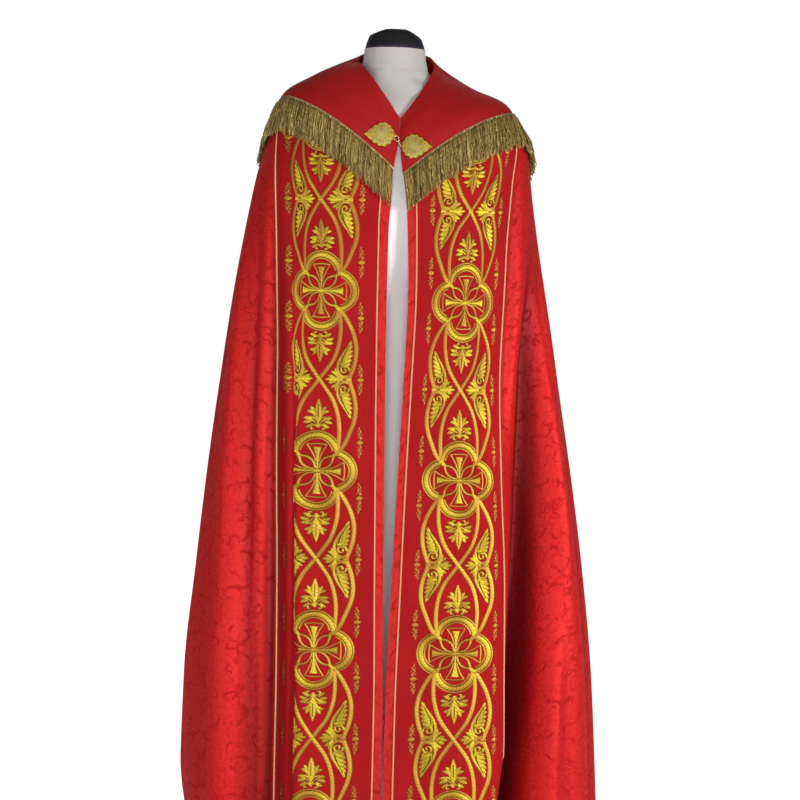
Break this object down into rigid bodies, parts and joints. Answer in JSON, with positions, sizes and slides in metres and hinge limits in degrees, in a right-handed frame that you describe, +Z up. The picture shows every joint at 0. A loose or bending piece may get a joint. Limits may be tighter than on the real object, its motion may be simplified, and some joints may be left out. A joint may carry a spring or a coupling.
{
  "type": "cope vestment on a limbless dress form",
  "caption": "Full-length open liturgical cope of red damask with embroidered front bands, fringed shoulder cape and hook clasp, standing on a limbless dress form.",
  "frame": {"origin": "centre of the underside of the round foot, on the floor", "axes": "+Z up, -Y towards the open front of the cope, +X to the right seen from the front"},
  "size_m": [0.8665, 0.6131, 1.6503],
  "materials": {
    "red_damask": "tonal silk damask, satin figure on a matt ground",
    "red_velvet": "matt dark red band cloth with gold machine embroidery",
    "gold_thread": "gold metal thread cord and twisted fringe",
    "gold_lace": "raised gold metal-thread leaf",
    "clasp_metal": "bright plated wire",
    "form_jersey": "plain pale grey jersey cover",
    "form_black": "matt black cloth",
    "form_metal": "pale grey paint"
  },
  "bodies": {
    "root": {"body_left": "red_damask", "body_back": "red_damask", "body_right": "red_damask", "collar": "red_damask", "orphrey_left": "red_velvet", "orphrey_right": "red_velvet", "piping_left_inner": "gold_thread", "piping_left_outer": "gold_thread", "piping_right_inner": "gold_thread", "piping_right_outer": "gold_thread", "fringe": "gold_thread", "medallion_left": "gold_lace", "medallion_right": "gold_lace", "clasp_eye": "clasp_metal", "clasp_hook": "clasp_metal", "form_body": "form_jersey", "neck_cap": "form_black", "form_pole": "form_metal", "form_base": "form_metal"}
  },
  "joints": []
}
